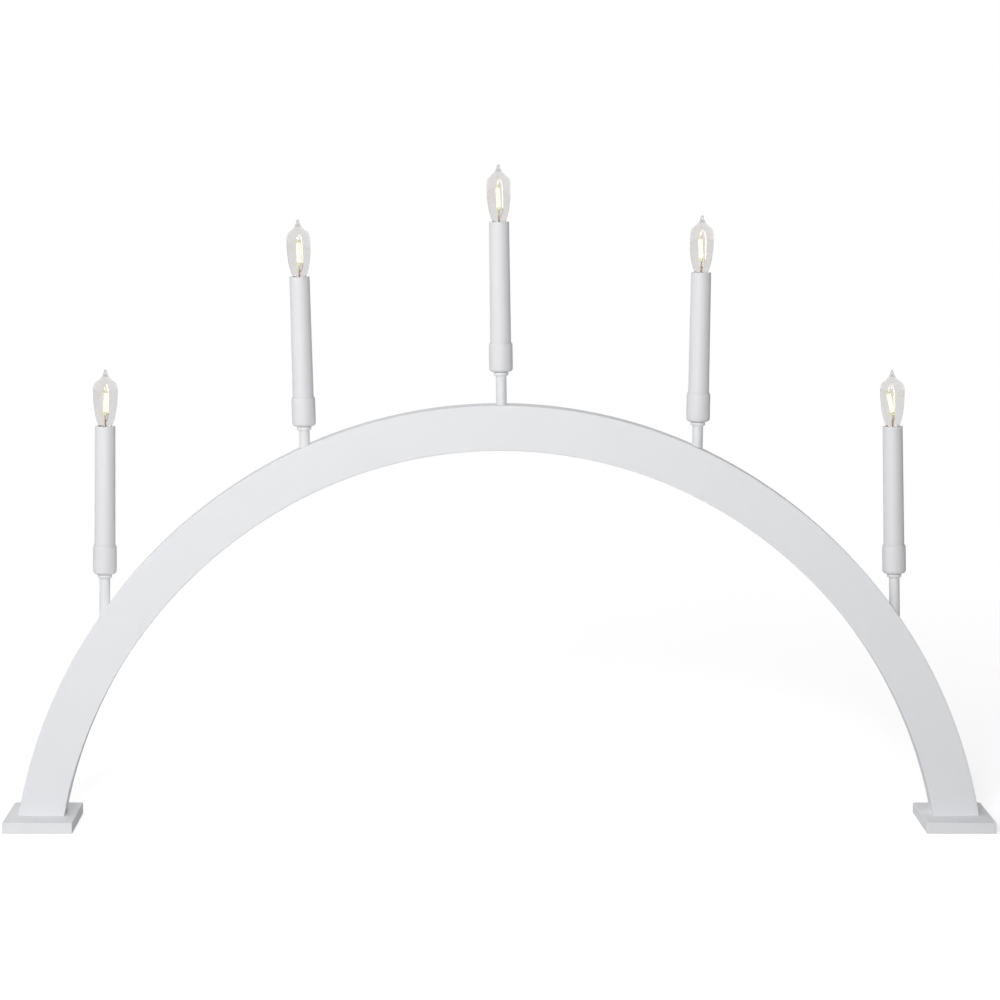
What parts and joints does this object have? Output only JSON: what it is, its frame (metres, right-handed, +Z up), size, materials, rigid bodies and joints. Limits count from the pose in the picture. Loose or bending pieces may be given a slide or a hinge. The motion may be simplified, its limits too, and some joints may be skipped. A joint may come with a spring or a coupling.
{
  "type": "window candlestick",
  "caption": "White arched window candlestick on two flat feet, with electric candles whose clear tipped lamps screw out of their sleeves.",
  "frame": {"origin": "on the ground, midway between the feet and midway through their depth", "axes": "+X along the arch to the right as seen from the front, +Y to the rear, +Z up"},
  "size_m": [0.659, 0.06, 0.4404],
  "materials": {
    "arch_paint": "white satin paint on board",
    "stem_paint": "white satin",
    "candle_plastic": "white satin",
    "lead_sheath": "white matte",
    "screw_steel": "zinc-bright",
    "brass": "rolled",
    "dark_insulator": "moulded",
    "clear_glass": "clear, blown",
    "filament": "lit warm white"
  },
  "bodies": {
    "candlestick": {"arch_frame": "arch_paint", "rear_cover": "arch_paint", "cord_gland": "candle_plastic", "wiring_harness": "lead_sheath", "foot_left": "arch_paint", "foot_screw_left": "screw_steel", "cover_screw_left": "screw_steel", "foot_right": "arch_paint", "foot_screw_right": "screw_steel", "cover_screw_right": "screw_steel", "stem_1": "stem_paint", "lock_nut_1": "stem_paint", "cup_1": "candle_plastic", "sleeve_1": "candle_plastic", "socket_shell_1": "brass", "socket_contact_1": "dark_insulator", "stem_2": "stem_paint", "lock_nut_2": "stem_paint", "cup_2": "candle_plastic", "sleeve_2": "candle_plastic", "socket_shell_2": "brass", "socket_contact_2": "dark_insulator", "stem_3": "stem_paint", "lock_nut_3": "stem_paint", "cup_3": "candle_plastic", "sleeve_3": "candle_plastic", "socket_shell_3": "brass", "socket_contact_3": "dark_insulator", "stem_4": "stem_paint", "lock_nut_4": "stem_paint", "cup_4": "candle_plastic", "sleeve_4": "candle_plastic", "socket_shell_4": "brass", "socket_contact_4": "dark_insulator", "stem_5": "stem_paint", "lock_nut_5": "stem_paint", "cup_5": "candle_plastic", "sleeve_5": "candle_plastic", "socket_shell_5": "brass", "socket_contact_5": "dark_insulator"},
    "lamp_tip_1": {"lamp_tip_1": "dark_insulator"},
    "lamp_1": {"lamp_cap_1": "brass", "lamp_glass_1": "clear_glass", "lamp_filament_1": "filament"},
    "lamp_tip_2": {"lamp_tip_2": "dark_insulator"},
    "lamp_2": {"lamp_cap_2": "brass", "lamp_glass_2": "clear_glass", "lamp_filament_2": "filament"},
    "lamp_tip_3": {"lamp_tip_3": "dark_insulator"},
    "lamp_3": {"lamp_cap_3": "brass", "lamp_glass_3": "clear_glass", "lamp_filament_3": "filament"},
    "lamp_tip_4": {"lamp_tip_4": "dark_insulator"},
    "lamp_4": {"lamp_cap_4": "brass", "lamp_glass_4": "clear_glass", "lamp_filament_4": "filament"},
    "lamp_tip_5": {"lamp_tip_5": "dark_insulator"},
    "lamp_5": {"lamp_cap_5": "brass", "lamp_glass_5": "clear_glass", "lamp_filament_5": "filament"}
  },
  "joints": [
    {"name": "lamp_rise_1", "type": "slide", "parent": "candlestick", "child": "lamp_tip_1", "axis": [0.0157, 0, 0.9999], "range_m": [0, 0.00637]},
    {"name": "lamp_turn_1", "type": "hinge", "parent": "lamp_tip_1", "child": "lamp_1", "pos_m": [-0.26122, 0, 0.26794], "axis": [0.0157, 0, 0.9999], "range_deg": [0, 1260]},
    {"name": "lamp_rise_2", "type": "slide", "parent": "candlestick", "child": "lamp_tip_2", "axis": [-0.0262, 0, 0.9997], "range_m": [0, 0.00637]},
    {"name": "lamp_turn_2", "type": "hinge", "parent": "lamp_tip_2", "child": "lamp_2", "pos_m": [-0.13283, 0, 0.36676], "axis": [-0.0262, 0, 0.9997], "range_deg": [0, 1260]},
    {"name": "lamp_rise_3", "type": "slide", "parent": "candlestick", "child": "lamp_tip_3", "axis": [-0.0175, 0, 0.9998], "range_m": [0, 0.00637]},
    {"name": "lamp_turn_3", "type": "hinge", "parent": "lamp_tip_3", "child": "lamp_3", "pos_m": [-0.0021, 0, 0.40308], "axis": [-0.0175, 0, 0.9998], "range_deg": [0, 1260]},
    {"name": "lamp_rise_4", "type": "slide", "parent": "candlestick", "child": "lamp_tip_4", "axis": [0.0087, 0, 1], "range_m": [0, 0.00637]},
    {"name": "lamp_turn_4", "type": "hinge", "parent": "lamp_tip_4", "child": "lamp_4", "pos_m": [0.13091, 0, 0.37039], "axis": [0.0087, 0, 1], "range_deg": [0, 1260]},
    {"name": "lamp_rise_5", "type": "slide", "parent": "candlestick", "child": "lamp_tip_5", "axis": [-0.0314, 0, 0.9995], "range_m": [0, 0.00637]},
    {"name": "lamp_turn_5", "type": "hinge", "parent": "lamp_tip_5", "child": "lamp_5", "pos_m": [0.25926, 0, 0.2691], "axis": [-0.0314, 0, 0.9995], "range_deg": [0, 1260]}
  ],
  "couplings": [
    {"joint": "lamp_rise_1", "follows": "lamp_turn_1", "m_per_rad": 0.00028871},
    {"joint": "lamp_rise_2", "follows": "lamp_turn_2", "m_per_rad": 0.00028871},
    {"joint": "lamp_rise_3", "follows": "lamp_turn_3", "m_per_rad": 0.00028871},
    {"joint": "lamp_rise_4", "follows": "lamp_turn_4", "m_per_rad": 0.00028871},
    {"joint": "lamp_rise_5", "follows": "lamp_turn_5", "m_per_rad": 0.00028871}
  ]
}
